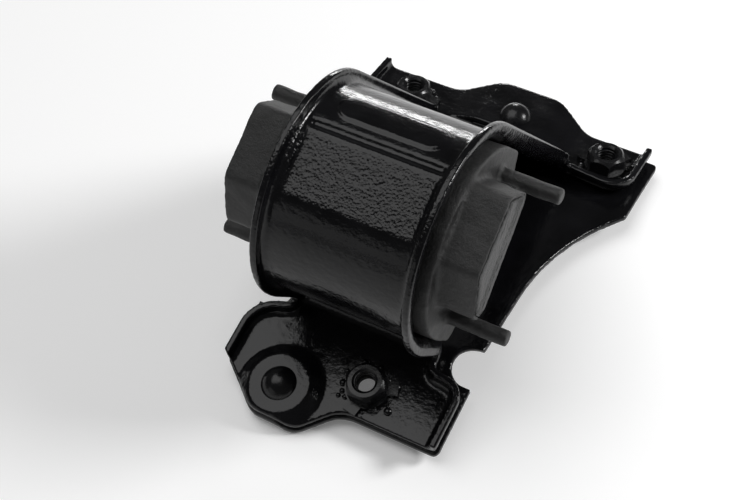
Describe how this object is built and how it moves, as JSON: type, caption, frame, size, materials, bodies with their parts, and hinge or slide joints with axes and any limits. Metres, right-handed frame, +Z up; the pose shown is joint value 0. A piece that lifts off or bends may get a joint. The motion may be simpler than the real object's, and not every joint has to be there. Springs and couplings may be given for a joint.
{
  "type": "engine mount",
  "caption": "Black pressed-steel engine mount with an arched shell over a rubber cushion, two riveted feet and weld nuts.",
  "frame": {"origin": "on the bolt bore's axis, midway between the core's ends", "axes": "+Z up, +X along the bolt bore towards the right end, +Y from the front foot to the rear foot"},
  "size_m": [0.1374, 0.2071, 0.1167],
  "materials": {
    "black_paint": "gloss",
    "painted_steel": "satin",
    "core_metal": "satin",
    "rubber": "matte"
  },
  "bodies": {
    "root": {"upper_shell": "black_paint", "lower_shell": "black_paint", "inner_core": "core_metal", "rubber_cushion": "rubber", "front_rivet": "painted_steel", "rear_rivet": "painted_steel", "front_weld_nut": "painted_steel", "rear_left_weld_nut": "painted_steel", "rear_right_weld_nut": "painted_steel"}
  },
  "joints": []
}
